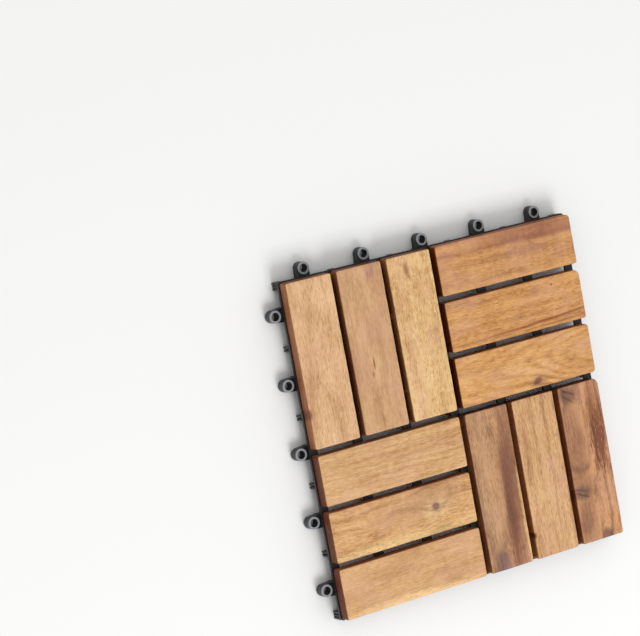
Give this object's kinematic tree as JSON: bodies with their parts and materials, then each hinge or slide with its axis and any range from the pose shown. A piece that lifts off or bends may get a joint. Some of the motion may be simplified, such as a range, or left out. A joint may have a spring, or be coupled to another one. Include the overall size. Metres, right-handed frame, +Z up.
{
  "type": "interlocking deck tile",
  "caption": "Square floor tile of wooden slats in four quadrants on a moulded plastic grid, with loops on two sides and pins under the other two.",
  "frame": {"origin": "middle of the tile's square, on the ground under its middle foot", "axes": "+Z up out of the walking surface; loops stand out on the -X and +Y sides, pins hang under the +X and -Y sides; X and Y run along the slats"},
  "size_m": [0.309, 0.309, 0.024],
  "materials": {
    "acacia_rear_left_1": "oiled acacia",
    "acacia_rear_left_2": "oiled acacia",
    "acacia_rear_left_3": "oiled acacia",
    "acacia_rear_right_1": "oiled acacia",
    "acacia_rear_right_2": "oiled acacia",
    "acacia_rear_right_3": "oiled acacia",
    "acacia_front_left_1": "oiled acacia",
    "acacia_front_left_2": "oiled acacia",
    "acacia_front_left_3": "oiled acacia",
    "acacia_front_right_1": "oiled acacia",
    "acacia_front_right_2": "oiled acacia",
    "acacia_front_right_3": "oiled acacia",
    "moulded_base": "moulded, near black",
    "screw_steel": "zinc plated"
  },
  "bodies": {
    "root": {"slat_rear_left_1": "acacia_rear_left_1", "slat_rear_left_2": "acacia_rear_left_2", "slat_rear_left_3": "acacia_rear_left_3", "slat_rear_right_1": "acacia_rear_right_1", "slat_rear_right_2": "acacia_rear_right_2", "slat_rear_right_3": "acacia_rear_right_3", "slat_front_left_1": "acacia_front_left_1", "slat_front_left_2": "acacia_front_left_2", "slat_front_left_3": "acacia_front_left_3", "slat_front_right_1": "acacia_front_right_1", "slat_front_right_2": "acacia_front_right_2", "slat_front_right_3": "acacia_front_right_3", "base_grid": "moulded_base", "slat_screws": "screw_steel"}
  },
  "joints": []
}
